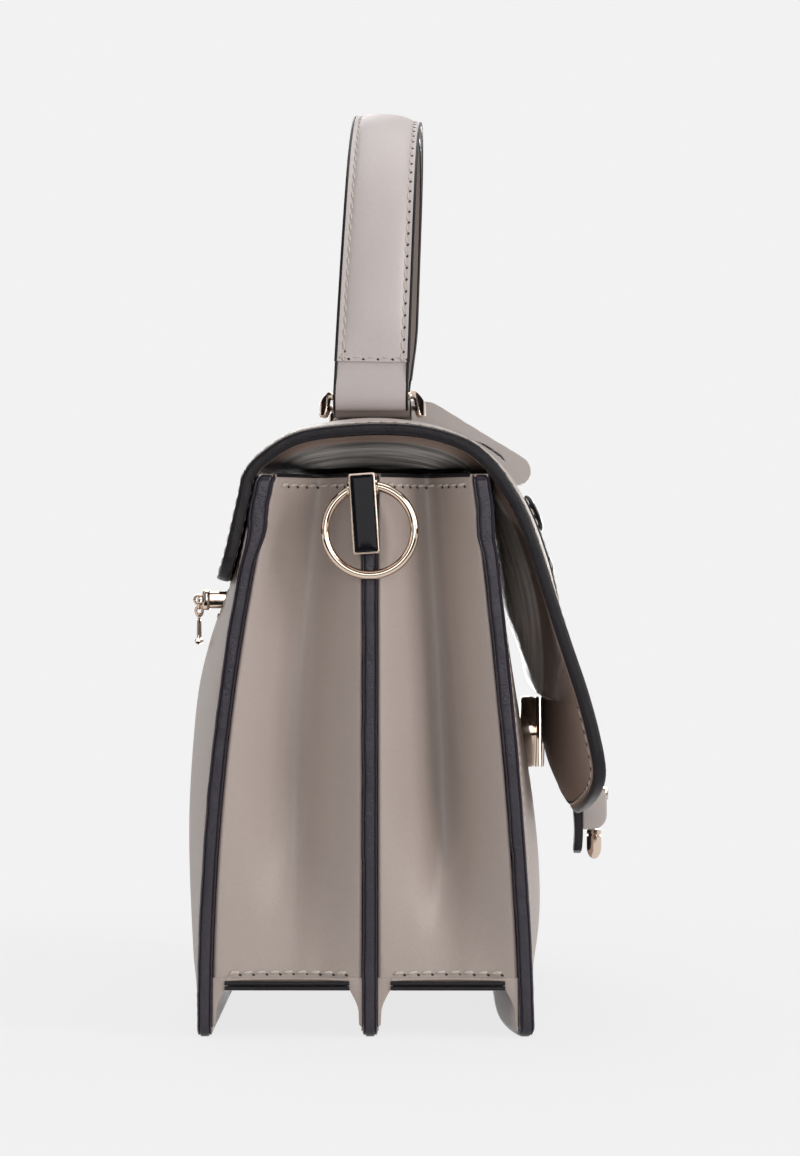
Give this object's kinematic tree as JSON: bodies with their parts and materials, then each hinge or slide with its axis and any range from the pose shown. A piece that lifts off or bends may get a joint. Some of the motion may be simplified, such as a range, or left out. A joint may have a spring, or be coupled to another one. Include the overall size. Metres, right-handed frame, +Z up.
{
  "type": "top handle bag",
  "caption": "Stiff leather handbag with two gusseted compartments, a front flap with a magnetic lock, an arched top handle on rings and a side ring at each end.",
  "frame": {"origin": "middle of the centre leaf's foot, on the surface that the bag stands on", "axes": "+Z up, X along the bag's width, the flap's front faces -Y and the back +Y"},
  "size_m": [0.2662, 0.1466, 0.3108],
  "materials": {
    "leather": "smooth semi-matt taupe leather with a fine grain",
    "lining": "matt dark brown lining leather",
    "edge": "near-black painted edge, soft gloss",
    "board": "pressed fibre board",
    "gold": "polished pale rose gold plating",
    "inlay": "black glossy enamel",
    "magnet": "dull grey magnet and washer",
    "tape": "dark woven zip tape",
    "foam": "firm felt padding"
  },
  "bodies": {
    "bag": {"back_panel": "leather", "back_board": "board", "back_lining": "lining", "back_edging": "edge", "centre_divider": "leather", "centre_board": "board", "centre_edging": "edge", "front_panel": "leather", "front_board": "board", "front_lining": "lining", "front_edging": "edge", "near_rear_gusset": "leather", "near_front_gusset": "leather", "far_rear_gusset": "leather", "far_front_gusset": "leather", "rear_base": "leather", "front_base": "leather", "rear_base_board": "lining", "front_base_board": "lining", "flap_anchor": "leather", "zip_tape": "tape", "zip_teeth": "gold", "pocket_bag": "lining", "near_side_clip": "gold", "near_inlay": "inlay", "far_side_clip": "gold", "far_inlay": "inlay", "lock_socket": "gold", "lock_magnet": "magnet", "lock_washer": "magnet"},
    "flap": {"flap_panel": "leather", "flap_board": "board", "flap_lining": "lining", "flap_edging": "edge", "lock_plate": "gold", "near_handle_tab": "leather", "far_handle_tab": "leather", "tab_rivets": "gold", "belt_loop": "leather", "belt_tongue": "leather", "belt_knob": "inlay", "belt_studs": "inlay", "tail_block": "leather", "tail_strap": "edge", "tail_pin": "gold"},
    "near_ring": {"near_handle_ring": "gold"},
    "far_ring": {"far_handle_ring": "gold"},
    "handle": {"handle_strap": "leather", "handle_lining": "leather", "handle_padding": "foam"},
    "near_side_loop": {"near_side_ring": "gold"},
    "far_side_loop": {"far_side_ring": "gold"},
    "slider": {"zip_slider": "gold"},
    "pull": {"zip_pull": "gold"}
  },
  "joints": [
    {"name": "flap_turn", "type": "hinge", "parent": "bag", "child": "flap", "pos_m": [0, 0.0478, 0.177], "axis": [-1, 0, 0], "range_deg": [0, 130]},
    {"name": "near_ring_swing", "type": "hinge", "parent": "flap", "child": "near_ring", "pos_m": [-0.06125, 0, 0.20557], "axis": [0, 1, 0], "range_deg": [0, 130]},
    {"name": "handle_level", "type": "hinge", "parent": "near_ring", "child": "handle", "pos_m": [-0.06941, 0, 0.20938], "axis": [0, 1, 0], "range_deg": [-130, 0]},
    {"name": "far_ring_swing", "type": "hinge", "parent": "flap", "child": "far_ring", "pos_m": [0.06125, 0, 0.20557], "axis": [0, 1, 0], "range_deg": [0, 130]},
    {"name": "near_side_ring_swing", "type": "hinge", "parent": "bag", "child": "near_side_loop", "pos_m": [-0.12857, 0, 0.1776], "axis": [0, 1, 0], "range_deg": [0, 120]},
    {"name": "far_side_ring_swing", "type": "hinge", "parent": "bag", "child": "far_side_loop", "pos_m": [0.12857, 0, 0.1776], "axis": [0, -1, 0], "range_deg": [0, 120]},
    {"name": "zip_slide", "type": "slide", "parent": "bag", "child": "slider", "axis": [1, 0, 0], "range_m": [0, 0.114]},
    {"name": "zip_pull_swing", "type": "hinge", "parent": "slider", "child": "pull", "pos_m": [-0.057, 0.05903, 0.141], "axis": [1, 0, 0], "range_deg": [0, 90]}
  ],
  "couplings": [
    {"joint": "handle_level", "follows": "near_ring_swing", "ratio": -1},
    {"joint": "far_ring_swing", "follows": "near_ring_swing", "ratio": 1}
  ]
}
